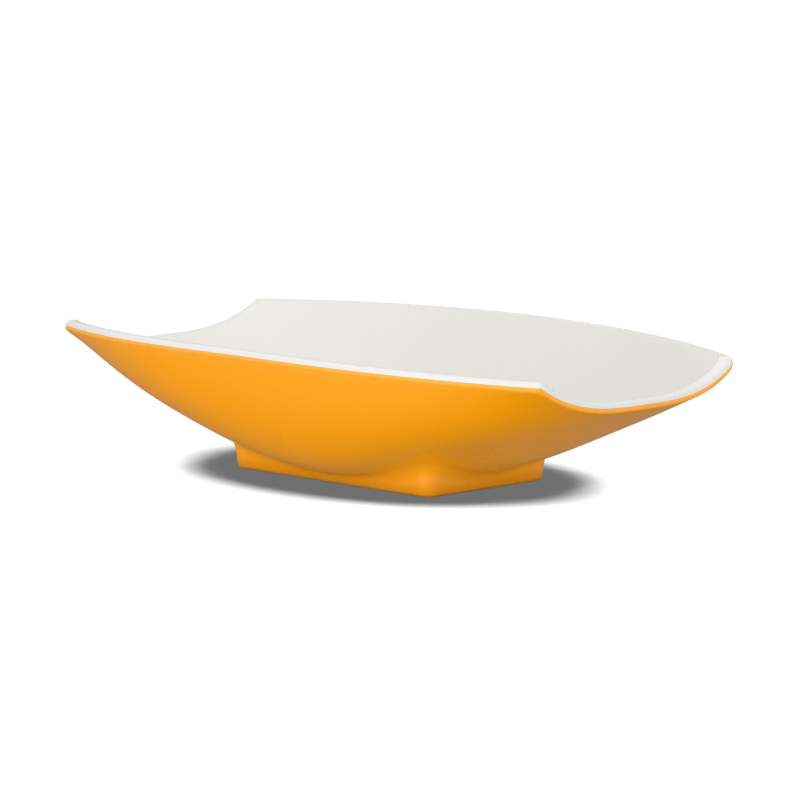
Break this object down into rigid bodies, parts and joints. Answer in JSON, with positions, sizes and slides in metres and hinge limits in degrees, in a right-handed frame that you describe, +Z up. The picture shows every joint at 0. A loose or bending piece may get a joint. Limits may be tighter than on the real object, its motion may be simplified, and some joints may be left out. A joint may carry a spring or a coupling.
{
  "type": "serving bowl",
  "caption": "Long two-tone moulded serving bowl with raised pointed corners, dipping ends, a white lining over an orange shell and a hollow rectangular foot.",
  "frame": {"origin": "middle of the foot's underside, on the table", "axes": "+X along the bowl's length, +Y across it, +Z up"},
  "size_m": [0.36, 0.214, 0.0747],
  "materials": {
    "orange_melamine": "smooth moulded, satin gloss",
    "white_melamine": "smooth moulded, satin gloss"
  },
  "bodies": {
    "root": {"outer_shell": "orange_melamine", "inner_liner": "white_melamine"}
  },
  "joints": []
}
